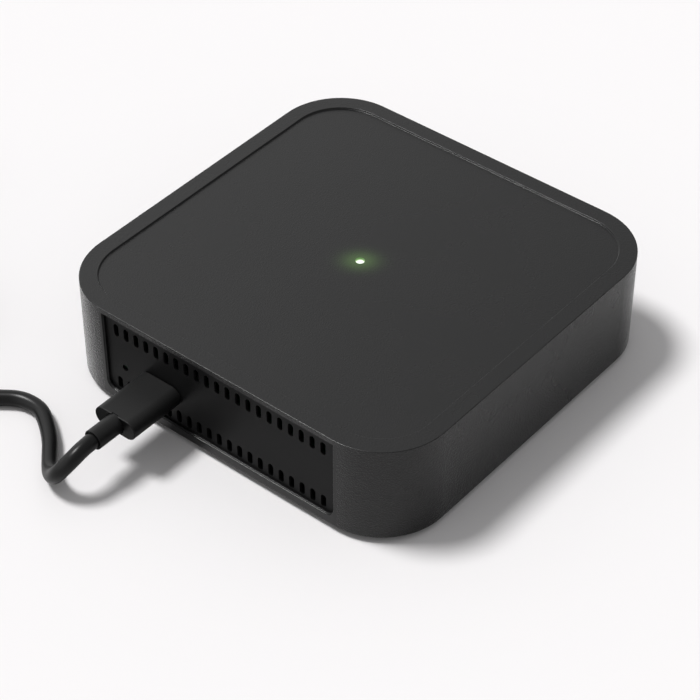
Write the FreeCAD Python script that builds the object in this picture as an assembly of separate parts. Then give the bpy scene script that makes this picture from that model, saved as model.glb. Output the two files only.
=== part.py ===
import FreeCAD, Part
import math
import os

# Smart home bridge: a square hub with a slotted rear panel and its power lead.
# Millimetres. Origin: centre of the footprint, on the surface it stands on.
# +Z is up, the rear panel faces +Y, the plain front faces -Y.

Vector = FreeCAD.Vector
UP = Vector(0, 0, 1)
REAR = Vector(0, 1, 0)

# Body
bodySize = 100.0
cornerRadius = 16.8
wallHeight = 25.35
footLift = 1.5
wallThickness = 2.2
topThickness = 2.8
topEdgeRound = 0.18
bottomEdgeRound = 0.3
fitGap = 0.1

# Plate let into the top, lying a little below the rim
plateInset = 4.25
plateRecess = 0.45
plateSeam = 0.1
plateThickness = 1.2
plateEdgeBevel = 0.12
rimEdgeBevel = 0.1
adhesiveThickness = 0.2
adhesiveInset = 3.0

# Light in the middle of the top
lightHoleRadius = 1.08
lightPipeRadius = 1.0
lightPipeRecess = 0.6
lightFlangeRadius = 2.6
lightFlangeThickness = 1.0
lightPipeFit = 0.06

# Window in the rear wall and the panel in it
windowWidth = 66.6
windowTopLip = 1.3
windowSill = 2.35
windowCornerRadius = 2.4
windowStep = 0.18
windowStepDepth = 0.3
windowEdgeBevel = 0.07
panelRecess = 0.9
panelThickness = 1.6
panelWeb = 0.6
panelWebMargin = 0.25
panelFlangeThickness = 1.1
panelFlangeOverlap = 1.5
panelRimWidth = 2.2

# Two rows of upright air slots
slotCount = 21
slotPitch = 3.0
slotWidth = 1.46
slotHeight = 3.5
slotRowDrop = 3.75
slotRowRise = 2.42

# Reset pinhole and the switch behind it
resetX = 28.1
resetZ = 11.65
pinholeRadius = 0.85
resetBodyWidth = 4.6
resetBodyDepth = 2.6
resetBodyHeight = 2.7
resetStemRadius = 0.5
resetStemFit = 0.05
resetTravel = 0.25
resetProud = 0.9
resetHidden = 0.9
resetPanelGap = 0.2
resetStemBevel = 0.12
resetHoleSpare = 0.1

# Screwed base
baseThickness = 1.8
baseRecess = 0.1
baseGap = 0.15
basePadHeight = 1.5
basePadRadius = 3.8
baseRibHeight = 1.4
baseRibThickness = 1.2
bossInset = 9.7
bossRadius = 3.2
insertRadius = 2.1
insertLength = 5.0
caseScrewRadius = 1.25
caseScrewLength = 7.0
caseHeadRadius = 2.6
caseHeadHeight = 1.4
screwSinkDepth = 1.7
threadFit = 0.03
headGap = 0.2
screwCrossLength = 2.4
screwCrossWidth = 0.5
screwCrossDepth = 0.7
bossHoleSpare = 1.0
bossHoleGap = 0.2
footRadius = 6.0
footThickness = 2.0
footSideInset = 21.0
footEndInset = 12.0
footEdgeBevel = 0.3

# Circuit board
boardThickness = 1.6
boardSideInset = 6.0
boardFrontInset = 6.0
boardCornerRadius = 14.0
boardPanelGap = 0.3
boardNotchGap = 0.7
standoffRadius = 2.8
standoffSideInset = 16.0
standoffEndInset = 20.0
boardScrewRadius = 1.1
boardScrewLength = 5.4
boardHeadRadius = 2.1
boardHeadHeight = 1.4
boardHoleSpare = 0.5

# Parts on the board: sizes as width, depth, height, and how far each lies from
# what it is placed by: a standoff, another part or the board's edge
processorSize = (15.0, 15.0, 1.5)
processorAt = (-17.0, 12.0)
padThickness = 0.5
padInset = 0.5
sinkWidth = 26.0
sinkBase = 1.6
sinkHeight = 7.0
sinkFinCount = 8
sinkFinThickness = 1.1
memorySize = (10.0, 8.0, 1.0)
memoryX = -20.0
memoryOffsets = (13.0, 23.0)
wifiShieldSize = (20.0, 16.0, 2.6)
wifiShieldOffset = (-12.0, 14.0)
meshShieldSize = (16.0, 12.0, 2.4)
meshShieldOffset = (15.0, -2.0)
shieldWall = 0.3
shieldRound = 0.6
antennaLength = 15.0
antennaHeight = 6.0
antennaSheet = 0.4
antennaLegWidth = 1.4
antennaLegGap = 2.6
antennaFold = 3.0
antennaBar = 1.8
antennaEdgeGap = 5.0
antennaBossGap = 2.1
antennaShieldGap = 4.0
crystalSize = (3.2, 2.5, 0.9)
crystalAt = ((-5.0, -12.0), (7.0, -22.0))
coilSize = (5.0, 5.0, 2.8)
coilOffsets = ((-12.0, -10.0), (-12.0, -2.0))
tallCapRadius = 3.15
tallCapHeight = 5.4
tallCapBevel = 0.4
tallCapOffsets = ((-1.0, -15.0), (-1.0, -23.0))
chipCapSize = (2.0, 1.25, 1.2)
chipCapCount = 6
chipCapPitch = 3.2
chipCapEdgeGap = 8.0
chipCapFirstY = 2.0
ledSize = (2.0, 1.6, 0.8)
ledGap = 0.3

# USB-C socket and plug
plugX = 16.75
plugZ = 12.25
socketWidth = 8.94
socketHeight = 3.2
socketSheet = 0.3
socketDepth = 7.3
socketSetback = 0.1
socketPanelGap = 0.15
socketBackSheet = 0.2
pedestalHeight = 0.7
pedestalInset = 1.0
tongueWidth = 6.7
tongueThickness = 0.7
tongueLength = 5.0
tongueBase = 1.2
plugShellWidth = 8.25
plugShellHeight = 2.4
plugShellSheet = 0.3
plugShellLength = 6.65
plugFaceGap = 0.25
plugBodyWidth = 11.9
plugBodyThickness = 5.1
plugBodyLength = 15.0
plugEdgeRound = 0.2
reliefRadius = 2.45
reliefLength = 6.9
reliefGrooveGap = 0.25
reliefGrooveDepth = 0.5
reliefMouthDepth = 1.0
reliefMouthGap = 0.15
reliefEdgeBevel = 0.12

# Lead
cordDiameter = 3.8
coilFloorGap = 0.08
coilPitch = 4.45
coilTurns = 7.365
coilMiddleRadius = 19.6
coilSamples = 24

# Plug at the supply end of the lead
supplyReliefRadius = 2.6
supplyReliefLength = 6.0
supplyReliefLip = 0.3
supplyBodyWidth = 15.6
supplyBodyThickness = 7.6
supplyBodyLength = 21.0
supplyBodyRound = 2.4
supplyShellWidth = 12.0
supplyShellHeight = 4.5
supplyShellLength = 12.0
supplyShellSheet = 0.35
supplyTongueWidth = 11.0
supplyTongueThickness = 1.9
supplyTongueSetback = 0.3

# Levels and faces worked out from the sizes above
halfBody = bodySize / 2
topLevel = footLift + wallHeight
ceilingLevel = topLevel - topThickness
plateLevel = topLevel - plateRecess
pocketLevel = plateLevel - plateThickness - adhesiveThickness
baseBottom = footLift + baseRecess
baseTop = baseBottom + baseThickness
padTop = baseTop + basePadHeight
innerWallY = halfBody - wallThickness
panelFaceY = halfBody - panelRecess
panelBackY = panelFaceY - panelThickness
flangeBackY = innerWallY - panelFlangeThickness
windowBottom = footLift + windowSill
windowTop = topLevel - windowTopLip
bossAt = halfBody - bossInset
socketBottom = plugZ - socketHeight / 2
boardTop = socketBottom - pedestalHeight
boardBottom = boardTop - boardThickness
boardRear = flangeBackY - boardPanelGap
boardFront = -halfBody + boardFrontInset
boardWidth = bodySize - 2 * boardSideInset
standoffX = halfBody - standoffSideInset
standoffY = halfBody - standoffEndInset
footX = halfBody - footSideInset
footY = halfBody - footEndInset
socketFrontY = panelFaceY - socketSetback
plugFaceY = panelFaceY + plugFaceGap
plugEndY = plugFaceY + plugBodyLength
reliefEndY = plugEndY + reliefLength
cordRadius = cordDiameter / 2
cordStartY = reliefEndY - reliefMouthDepth
slotRows = (windowBottom + slotRowRise, windowTop - slotRowDrop)

# Places on the board
wifiShieldAt = (standoffX + wifiShieldOffset[0], -standoffY + wifiShieldOffset[1])
meshShieldAt = (-standoffX + meshShieldOffset[0], -standoffY + meshShieldOffset[1])
memoryAt = [(memoryX, meshShieldAt[1] + offset) for offset in memoryOffsets]
tallCapAt = [(standoffX + x, standoffY + y) for x, y in tallCapOffsets]
coilAt = [(standoffX + x, standoffY + y) for x, y in coilOffsets]
chipCapX = -boardWidth / 2 + chipCapEdgeGap
antennaY = boardFront + antennaEdgeGap
wifiAntennaX = bossAt - bossRadius - antennaBossGap - antennaLength
meshAntennaX = meshShieldAt[0] + meshShieldSize[0] / 2 + antennaShieldGap

# Route of the lead from its plug to the coil
cordRoute = [
    (plugX, cordStartY, plugZ),
    (16.75, 73.9, 12.25),
    (17.0, 77.5, 11.0),
    (18.9, 79.8, 7.8),
    (21.7, 79.4, 4.2),
    (25.0, 77.3, 2.4),
    (28.3, 74.0, 2.05),
    (32.3, 69.8, 2.0),
    (37.6, 65.9, 2.0),
    (41.8, 63.8, 2.0),
    (47.2, 64.2, 2.0),
    (51.6, 67.5, 2.0),
    (56.8, 71.6, 2.0),
    (61.8, 75.6, 3.1),
    (66.2, 79.9, 5.7),
    (69.9, 83.2, 6.43),
    (73.3, 86.4, 6.43),
]

# Steps of the tail from the coil to the supply plug: along it, aside, up
tailSteps = [
    (0.0, 0.0, 0.0),
    (4.6, 0.0, 0.0),
    (9.2, -0.4, 0.25),
    (13.6, -0.1, 1.1),
    (17.6, 0.4, 1.85),
    (21.0, 0.7, 1.85),
]


def save(node, shape):
    shape.exportStep("parts/" + node + ".step")


def roundedPrism(width, depth, radius, bottom, height):
    # upright prism with a rounded rectangular outline centred on the Z axis
    halfWidth = width / 2 - radius
    halfDepth = depth / 2 - radius
    arcs = []
    for index, (x, y) in enumerate(fourCorners(halfWidth, halfDepth)):
        turns = [math.radians(90 * index + step) for step in (0, 45, 90)]
        ways = [(math.cos(turn), math.sin(turn)) for turn in turns]
        arcs.append([Vector(x + radius * wayX, y + radius * wayY, bottom) for wayX, wayY in ways])
    edges = []
    for index, arc in enumerate(arcs):
        edges.append(Part.Arc(arc[0], arc[1], arc[2]).toShape())
        following = arcs[(index + 1) % 4]
        edges.append(Part.LineSegment(arc[2], following[0]).toShape())
    return Part.Face(Part.Wire(edges)).extrude(UP * height)


def stadiumPrism(width, height, x, z, fromY, toY):
    # level bar along Y whose section is a rounded slot, wide along X or along Z
    radius = min(width, height) / 2
    reachX = width / 2 - radius
    reachZ = height / 2 - radius
    if width > height:
        a, b = Vector(x - reachX, fromY, z - radius), Vector(x + reachX, fromY, z - radius)
        c, d = Vector(x + reachX, fromY, z + radius), Vector(x - reachX, fromY, z + radius)
        tipOne, tipTwo = Vector(x + reachX + radius, fromY, z), Vector(x - reachX - radius, fromY, z)
    else:
        a, b = Vector(x + radius, fromY, z - reachZ), Vector(x + radius, fromY, z + reachZ)
        c, d = Vector(x - radius, fromY, z + reachZ), Vector(x - radius, fromY, z - reachZ)
        tipOne, tipTwo = Vector(x, fromY, z + reachZ + radius), Vector(x, fromY, z - reachZ - radius)
    edges = [
        Part.LineSegment(a, b).toShape(),
        Part.Arc(b, tipOne, c).toShape(),
        Part.LineSegment(c, d).toShape(),
        Part.Arc(d, tipTwo, a).toShape(),
    ]
    return Part.Face(Part.Wire(edges)).extrude(REAR * (toY - fromY))


def windowOutline(grow, y):
    # square at the top corners, round at the bottom ones
    half = windowWidth / 2 + grow
    low = windowBottom - grow
    radius = windowCornerRadius + grow
    bend = radius * (1 - math.sqrt(0.5))
    edges = [
        Part.LineSegment(Vector(half, y, windowTop), Vector(-half, y, windowTop)).toShape(),
        Part.LineSegment(Vector(-half, y, windowTop), Vector(-half, y, low + radius)).toShape(),
        Part.Arc(
            Vector(-half, y, low + radius),
            Vector(-half + bend, y, low + bend),
            Vector(-half + radius, y, low),
        ).toShape(),
        Part.LineSegment(Vector(-half + radius, y, low), Vector(half - radius, y, low)).toShape(),
        Part.Arc(
            Vector(half - radius, y, low),
            Vector(half - bend, y, low + bend),
            Vector(half, y, low + radius),
        ).toShape(),
        Part.LineSegment(Vector(half, y, low + radius), Vector(half, y, windowTop)).toShape(),
    ]
    return Part.Wire(edges)


def windowPrism(grow, fromY, toY):
    return Part.Face(windowOutline(grow, fromY)).extrude(REAR * (toY - fromY))


def windowBevel(grow, y):
    # sloped edge where the window, widened by grow, meets the face at this depth
    narrow = windowOutline(grow, y - windowEdgeBevel)
    wide = windowOutline(grow + windowEdgeBevel, y)
    return Part.makeLoft([narrow, wide], True, True)


def post(radius, x, y, bottom, top):
    return Part.makeCylinder(radius, top - bottom, Vector(x, y, bottom))


def fourCorners(x, y):
    return [(x, y), (-x, y), (-x, -y), (x, -y)]


def edgesAtLevel(shape, level):
    near = 1e-4
    return [e for e in shape.Edges if abs(e.BoundBox.ZMin - level) + abs(e.BoundBox.ZMax - level) < near]


def edgesAtY(shape, y):
    near = 1e-4
    return [e for e in shape.Edges if abs(e.BoundBox.YMin - y) + abs(e.BoundBox.YMax - y) < near]


def blockOnBoard(size, at, bottom=None):
    level = boardTop if bottom is None else bottom
    width, depth, height = size
    return Part.makeBox(width, depth, height, Vector(at[0] - width / 2, at[1] - depth / 2, level))


def insetPrism(inset, bottom, height):
    # outline of the body drawn in by the given amount, with concentric corners
    size = bodySize - 2 * inset
    return roundedPrism(size, size, cornerRadius - inset, bottom, height)


def makeHousing():
    shell = insetPrism(0, footLift, wallHeight)
    shell = shell.makeFillet(topEdgeRound, edgesAtLevel(shell, topLevel))
    shell = shell.makeFillet(bottomEdgeRound, edgesAtLevel(shell, footLift))
    shell = shell.cut(insetPrism(wallThickness, 0, ceilingLevel))
    shell = shell.cut(insetPrism(plateInset, pocketLevel, topLevel - pocketLevel))
    shell = shell.cut(pocketBevel())
    shell = shell.cut(windowPrism(0, panelBackY - fitGap / 2, halfBody + 1))
    shell = shell.cut(windowPrism(windowStep, halfBody - windowStepDepth, halfBody + 1))
    shell = shell.cut(windowBevel(0, halfBody - windowStepDepth))
    shell = shell.cut(windowBevel(windowStep, halfBody))
    shell = shell.cut(post(lightPipeRadius + lightPipeFit, 0, 0, ceilingLevel - 1, topLevel))
    for x, y in fourCorners(bossAt, bossAt):
        shell = shell.fuse(post(bossRadius, x, y, padTop, ceilingLevel + 0.1))
    for x, y in fourCorners(bossAt, bossAt):
        holeDepth = max(insertLength, caseScrewLength) + bossHoleSpare
        shell = shell.cut(post(caseScrewRadius + bossHoleGap, x, y, padTop, padTop + holeDepth))
        shell = shell.cut(post(insertRadius, x, y, padTop, padTop + insertLength))
    return shell.removeSplitter()


def pocketBevel():
    # sloped rim of the pocket that the top plate lies in
    wide = outlineWire(plateInset - rimEdgeBevel, topLevel)
    narrow = outlineWire(plateInset, topLevel - rimEdgeBevel)
    return Part.makeLoft([narrow, wide], True, True)


def outlineWire(inset, level):
    prism = insetPrism(inset, level, 1)
    face = [f for f in prism.Faces if abs(f.BoundBox.ZMax - level) < 1e-4][0]
    return face.OuterWire


def makeTopPlate():
    plate = insetPrism(plateInset + plateSeam, plateLevel - plateThickness, plateThickness)
    plate = plate.makeChamfer(plateEdgeBevel, edgesAtLevel(plate, plateLevel))
    return plate.cut(post(lightHoleRadius, 0, 0, 0, topLevel + 1))


def makePlateAdhesive():
    sheet = insetPrism(plateInset + adhesiveInset, pocketLevel, adhesiveThickness)
    return sheet.cut(post(lightFlangeRadius, 0, 0, 0, topLevel + 1))


def makeLightPipe():
    top = plateLevel - lightPipeRecess
    foot = boardTop + ledSize[2] + ledGap
    stem = post(lightPipeRadius, 0, 0, foot, top)
    flange = post(lightFlangeRadius, 0, 0, ceilingLevel - lightFlangeThickness, ceilingLevel)
    return stem.fuse(flange).removeSplitter()


def makeRearPanel():
    plate = windowPrism(-fitGap, panelBackY, panelFaceY)
    plateTop = plate.BoundBox.ZMax - fitGap
    plate = plate.common(Part.makeBox(bodySize, bodySize, plateTop, Vector(-halfBody, 0, 0)))
    flangeHalf = windowWidth / 2 + panelFlangeOverlap
    flangeBottom = baseTop + fitGap
    flangeTop = ceilingLevel - fitGap
    flange = Part.makeBox(
        2 * flangeHalf,
        panelFlangeThickness,
        flangeTop - flangeBottom,
        Vector(-flangeHalf, flangeBackY, flangeBottom),
    )
    hollow = Part.makeBox(
        2 * (flangeHalf - panelRimWidth),
        panelFlangeThickness,
        flangeTop - flangeBottom - 2 * panelRimWidth,
        Vector(-flangeHalf + panelRimWidth, flangeBackY, flangeBottom + panelRimWidth),
    )
    flange = flange.cut(hollow).common(insetPrism(wallThickness, flangeBottom, flangeTop - flangeBottom))
    panel = plate.fuse(flange)
    panel = panel.cut(webPocket())
    panel = panel.cut(Part.makeCompound(airSlots()))
    socketHole = stadiumPrism(
        socketWidth + 2 * socketPanelGap,
        socketHeight + 2 * socketPanelGap,
        plugX,
        plugZ,
        flangeBackY - 1,
        halfBody,
    )
    panel = panel.cut(socketHole)
    pinhole = Part.makeCylinder(pinholeRadius, bodySize, Vector(resetX, 0, resetZ), REAR)
    return panel.cut(pinhole).removeSplitter()


def webPocket():
    # hollow behind the slotted part, which leaves a thin web there
    half = slotPitch * (slotCount - 1) / 2 + slotWidth / 2 + panelWebMargin
    low = slotRows[0] - slotHeight / 2 - panelWebMargin
    high = slotRows[1] + slotHeight / 2 + panelWebMargin
    depth = panelFaceY - panelWeb - flangeBackY
    return Part.makeBox(2 * half, depth, high - low, Vector(-half, flangeBackY, low))


def airSlots():
    firstX = -slotPitch * (slotCount - 1) / 2
    slots = []
    for z in slotRows:
        for index in range(slotCount):
            x = firstX + index * slotPitch
            slots.append(stadiumPrism(slotWidth, slotHeight, x, z, flangeBackY - 1, halfBody))
    return slots


def makeBaseCover():
    inset = wallThickness + baseGap
    cover = insetPrism(inset, baseBottom, baseThickness)
    reach = insetPrism(inset, baseBottom, boardBottom - baseBottom)
    for x, y in fourCorners(bossAt, bossAt):
        cover = cover.fuse(post(basePadRadius, x, y, baseTop, padTop).common(reach))
    for x, y in fourCorners(standoffX, standoffY):
        cover = cover.fuse(post(standoffRadius, x, y, baseTop, boardBottom))
    cover = cover.fuse(makeBaseRibs())
    for x, y in fourCorners(bossAt, bossAt):
        cover = cover.cut(post(caseHeadRadius + headGap, x, y, 0, baseBottom + screwSinkDepth))
        cover = cover.cut(post(caseScrewRadius + headGap, x, y, 0, padTop + 1))
    for x, y in fourCorners(standoffX, standoffY):
        holeDepth = boardScrewLength - boardThickness + boardHoleSpare
        cover = cover.cut(post(boardScrewRadius + threadFit, x, y, boardBottom - holeDepth, boardBottom))
    for x, y in fourCorners(footX, footY):
        cover = cover.cut(post(footRadius + fitGap, x, y, 0, footThickness))
    return cover.removeSplitter()


def makeBaseRibs():
    # a frame of low ribs from standoff to standoff
    ribs = []
    for side in (-1, 1):
        ribs.append(Part.makeBox(
            2 * standoffX, baseRibThickness, baseRibHeight,
            Vector(-standoffX, side * standoffY - baseRibThickness / 2, baseTop),
        ))
        ribs.append(Part.makeBox(
            baseRibThickness, 2 * standoffY, baseRibHeight,
            Vector(side * standoffX - baseRibThickness / 2, -standoffY, baseTop),
        ))
    return ribs[0].fuse(ribs[1:])


def makeFeet():
    feet = []
    for x, y in fourCorners(footX, footY):
        foot = post(footRadius, x, y, 0, footThickness)
        feet.append(foot.makeChamfer(footEdgeBevel, edgesAtLevel(foot, 0)))
    return Part.makeCompound(feet)


def makeInserts():
    inserts = []
    for x, y in fourCorners(bossAt, bossAt):
        top = padTop + insertLength
        sleeve = post(insertRadius, x, y, padTop, top)
        inserts.append(sleeve.cut(post(caseScrewRadius + threadFit, x, y, padTop - 1, top + 1)))
    return Part.makeCompound(inserts)


def makeCaseScrews():
    screws = []
    headTop = baseBottom + screwSinkDepth
    for x, y in fourCorners(bossAt, bossAt):
        head = post(caseHeadRadius, x, y, headTop - caseHeadHeight, headTop)
        shank = post(caseScrewRadius, x, y, headTop, headTop + caseScrewLength)
        screws.append(crossSlot(head.fuse(shank).removeSplitter(), x, y, headTop - caseHeadHeight, 1))
    return Part.makeCompound(screws)


def crossSlot(screw, x, y, level, side):
    # cross recess in the head; side is the way from its face into the head
    start = level if side > 0 else level - screwCrossDepth
    bars = []
    for width, depth in ((screwCrossLength, screwCrossWidth), (screwCrossWidth, screwCrossLength)):
        corner = Vector(x - width / 2, y - depth / 2, start)
        bars.append(Part.makeBox(width, depth, screwCrossDepth, corner))
    return screw.cut(bars)


def makeBoard():
    depth = boardRear - boardFront
    board = roundedPrism(boardWidth, depth, boardCornerRadius, boardBottom, boardThickness)
    board.translate(Vector(0, (boardRear + boardFront) / 2, 0))
    for x, y in fourCorners(bossAt, bossAt):
        board = board.cut(post(bossRadius + boardNotchGap, x, y, 0, topLevel))
    for x, y in fourCorners(standoffX, standoffY):
        board = board.cut(post(boardScrewRadius + fitGap, x, y, 0, topLevel))
    return board.removeSplitter()


def makeBoardScrews():
    screws = []
    for x, y in fourCorners(standoffX, standoffY):
        head = post(boardHeadRadius, x, y, boardTop, boardTop + boardHeadHeight)
        shank = post(boardScrewRadius, x, y, boardTop - boardScrewLength, boardTop)
        screws.append(crossSlot(head.fuse(shank).removeSplitter(), x, y, boardTop + boardHeadHeight, -1))
    return Part.makeCompound(screws)


def makeHeatSink():
    level = boardTop + processorSize[2] + padThickness
    sink = blockOnBoard((sinkWidth, sinkWidth, sinkBase), processorAt, level)
    finStep = (sinkWidth - sinkFinThickness) / (sinkFinCount - 1)
    left = processorAt[0] - sinkWidth / 2
    fins = []
    for index in range(sinkFinCount):
        corner = Vector(left + index * finStep, processorAt[1] - sinkWidth / 2, level)
        fins.append(Part.makeBox(sinkFinThickness, sinkWidth, sinkHeight, corner))
    return sink.fuse(fins).removeSplitter()


def makeThermalPad():
    width, depth, height = processorSize
    size = (width - 2 * padInset, depth - 2 * padInset, padThickness)
    return blockOnBoard(size, processorAt, boardTop + height)


def makeShield(size, at):
    # pressed can, open underneath
    can = blockOnBoard(size, at)
    upright = [e for e in can.Edges if e.BoundBox.ZLength > size[2] / 2]
    can = can.makeFillet(shieldRound, upright)
    width, depth, height = size
    inner = (width - 2 * shieldWall, depth - 2 * shieldWall, height - shieldWall)
    return can.cut(blockOnBoard(inner, at))


def makeAntenna(x, y):
    # folded sheet: an upright bar on two legs with a level flap along its top
    crest = boardTop + antennaHeight
    bar = Part.makeBox(antennaLength, antennaSheet, antennaBar, Vector(x, y, crest - antennaBar))
    flap = Part.makeBox(antennaLength, antennaFold, antennaSheet, Vector(x, y, crest - antennaSheet))
    legs = []
    for index in range(2):
        legX = x + index * (antennaLegWidth + antennaLegGap)
        legs.append(Part.makeBox(antennaLegWidth, antennaSheet, antennaHeight, Vector(legX, y, boardTop)))
    return bar.fuse([flap] + legs).removeSplitter()


def makeChipCaps():
    rows = [chipCapFirstY + index * chipCapPitch for index in range(chipCapCount)]
    return blocksOnBoard(chipCapSize, [(chipCapX, y) for y in rows])


def makeTallCaps():
    cans = []
    for x, y in tallCapAt:
        can = post(tallCapRadius, x, y, boardTop, boardTop + tallCapHeight)
        cans.append(can.makeChamfer(tallCapBevel, edgesAtLevel(can, boardTop + tallCapHeight)))
    return Part.makeCompound(cans)


def makeResetSwitch():
    size = (resetBodyWidth, resetBodyDepth, resetBodyHeight)
    frontY = resetTipY() - resetProud
    body = blockOnBoard(size, (resetX, frontY - resetBodyDepth / 2))
    holeDepth = resetHidden + resetTravel + resetHoleSpare
    hole = Part.makeCylinder(
        resetStemRadius + resetStemFit, holeDepth, Vector(resetX, frontY - holeDepth, resetZ), REAR
    )
    return body.cut(hole)


def resetTipY():
    return flangeBackY - resetPanelGap


def makeResetPlunger():
    length = resetHidden + resetProud
    stem = Part.makeCylinder(resetStemRadius, length, Vector(resetX, resetTipY() - length, resetZ), REAR)
    return stem.makeChamfer(resetStemBevel, edgesAtY(stem, resetTipY()))


def makeSocketShell():
    # rolled sheet tube, closed at the back
    backY = socketFrontY - socketDepth
    outer = stadiumPrism(socketWidth, socketHeight, plugX, plugZ, backY, socketFrontY)
    bore = stadiumPrism(
        socketWidth - 2 * socketSheet,
        socketHeight - 2 * socketSheet,
        plugX,
        plugZ,
        backY + socketSheet,
        socketFrontY + 1,
    )
    return outer.cut(bore)


def makeSocketPedestal():
    backY = socketFrontY - socketDepth
    width = socketWidth - 2 * pedestalInset
    corner = Vector(plugX - width / 2, backY, boardTop)
    return Part.makeBox(width, boardRear - backY, pedestalHeight, corner)


def makeSocketTongue():
    backY = socketFrontY - socketDepth + socketSheet
    plug = stadiumPrism(
        socketWidth - 2 * socketSheet,
        socketHeight - 2 * socketSheet,
        plugX,
        plugZ,
        backY,
        backY + socketBackSheet,
    )
    tongue = Part.makeBox(
        tongueWidth,
        tongueBase + tongueLength,
        tongueThickness,
        Vector(plugX - tongueWidth / 2, backY, plugZ - tongueThickness / 2),
    )
    return plug.fuse(tongue).removeSplitter()


def makePlugShell():
    tipY = plugFaceY - plugShellLength
    outer = stadiumPrism(plugShellWidth, plugShellHeight, plugX, plugZ, tipY, plugFaceY)
    bore = stadiumPrism(
        plugShellWidth - 2 * plugShellSheet,
        plugShellHeight - 2 * plugShellSheet,
        plugX,
        plugZ,
        tipY - 1,
        plugFaceY - plugShellSheet,
    )
    return outer.cut(bore)


def makePlugBody():
    body = stadiumPrism(plugBodyWidth, plugBodyThickness, plugX, plugZ, plugFaceY, plugEndY)
    ends = edgesAtY(body, plugFaceY) + edgesAtY(body, plugEndY)
    body = body.makeFillet(plugEdgeRound, ends)
    grooveStart = Vector(plugX, plugEndY - reliefGrooveDepth, plugZ)
    return body.cut(Part.makeCylinder(reliefRadius + reliefGrooveGap, bodySize, grooveStart, REAR))


def makeRelief():
    # seated at the bottom of the round groove in the plug's end
    length = reliefLength + reliefGrooveDepth
    start = Vector(plugX, plugEndY - reliefGrooveDepth, plugZ)
    sleeve = Part.makeCylinder(reliefRadius, length, start, REAR)
    sleeve = sleeve.makeChamfer(reliefEdgeBevel, edgesAtY(sleeve, reliefEndY))
    mouth = Part.makeCylinder(
        cordRadius + reliefMouthGap, reliefMouthDepth, Vector(plugX, cordStartY, plugZ), REAR
    )
    return sleeve.cut(mouth)


def roundedPath(points):
    # straight runs joined by tangent arcs, each as large as its two runs allow
    edges = []
    radii = []
    start = points[0]
    for before, corner, after in zip(points, points[1:], points[2:]):
        inward = (before - corner).normalize()
        outward = (after - corner).normalize()
        halfTurn = (math.pi - inward.getAngle(outward)) / 2
        reach = 0.45 * min((before - corner).Length, (after - corner).Length)
        radius = reach / math.tan(halfTurn)
        bisector = (inward + outward).normalize()
        middle = corner + bisector * (radius / math.cos(halfTurn) - radius)
        arcStart = corner + inward * reach
        arcEnd = corner + outward * reach
        edges.append(Part.LineSegment(start, arcStart).toShape())
        edges.append(Part.Arc(arcStart, middle, arcEnd).toShape())
        radii.append(radius)
        start = arcEnd
    edges.append(Part.LineSegment(start, points[-1]).toShape())
    return edges, radii


def cordTube(edges):
    path = Part.Wire(edges)
    first = edges[0]
    start = first.valueAt(first.FirstParameter)
    heading = first.tangentAt(first.FirstParameter)
    ring = Part.Wire([Part.makeCircle(cordRadius, start, heading)])
    tube = path.makePipeShell([ring], True, False)
    share = tube.Volume / (math.pi * cordRadius ** 2 * path.Length)
    print("tube length %.1f, volume over section times length %.4f" % (path.Length, share))
    return tube


def makeCord():
    edges, radii = roundedPath([Vector(*point) for point in cordRoute])
    print("lead bend radii in diameters", [round(radius / cordDiameter, 2) for radius in radii])
    return cordTube(edges)


def coilFrame():
    # the coil starts where the tube ends and follows its last run
    end = Vector(*cordRoute[-1])
    heading = (end - Vector(*cordRoute[-2])).normalize()
    aside = heading.cross(UP)
    outerRadius = coilRadiusAt(0)
    centre = end + heading * cordDiameter + aside * outerRadius
    startAngle = math.atan2(-aside.y, -aside.x)
    return end, heading, Vector(centre.x, centre.y, 0), startAngle


def coilRadiusAt(turn):
    # in to the middle of the winding and out again at a steady rate
    fromMiddle = abs(turn - coilTurns / 2)
    return coilMiddleRadius + coilPitch * (fromMiddle - coilTurns / 4)


def coilLevelAt(turn):
    # upper layer first, then down one layer in the half turn at the middle
    late = min(max((turn - coilTurns / 2) * 2 + 0.5, 0.0), 1.0)
    return cordRadius + coilFloorGap + coilPitch * (1 + math.cos(math.pi * late)) / 2


def coilPoint(turn):
    end, heading, centre, startAngle = coilFrame()
    angle = startAngle - 2 * math.pi * turn
    radius = coilRadiusAt(turn)
    outward = Vector(math.cos(angle), math.sin(angle), 0)
    return centre + outward * radius + UP * coilLevelAt(turn)


def coilTangent(turn):
    step = 1e-4
    low = max(turn - step, 0)
    high = min(turn + step, coilTurns)
    tangent = coilPoint(high) - coilPoint(low)
    angle = coilFrame()[3] - 2 * math.pi * turn
    if turn < step or turn > coilTurns - step:
        return Vector(math.sin(angle), -math.cos(angle), 0)
    return tangent.normalize()


def biarc(start, startWay, end, endWay):
    # two arcs that leave start and reach end in the given directions
    chord = end - start
    both = startWay + endWay
    spread = 2 * (1 - startWay.dot(endWay))
    along = chord.dot(both)
    reach = (math.sqrt(along ** 2 + spread * chord.dot(chord)) - along) / spread
    startCorner = start + startWay * reach
    endCorner = end - endWay * reach
    joint = (startCorner + endCorner) * 0.5
    return [arcBetween(start, startCorner, joint), arcBetween(joint, endCorner, end)]


def arcBetween(start, corner, end):
    inward = (start - corner).normalize()
    outward = (end - corner).normalize()
    halfTurn = (math.pi - inward.getAngle(outward)) / 2
    radius = (start - corner).Length / math.tan(halfTurn)
    middle = corner + (inward + outward).normalize() * (radius / math.cos(halfTurn) - radius)
    return Part.Arc(start, middle, end).toShape()


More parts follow.
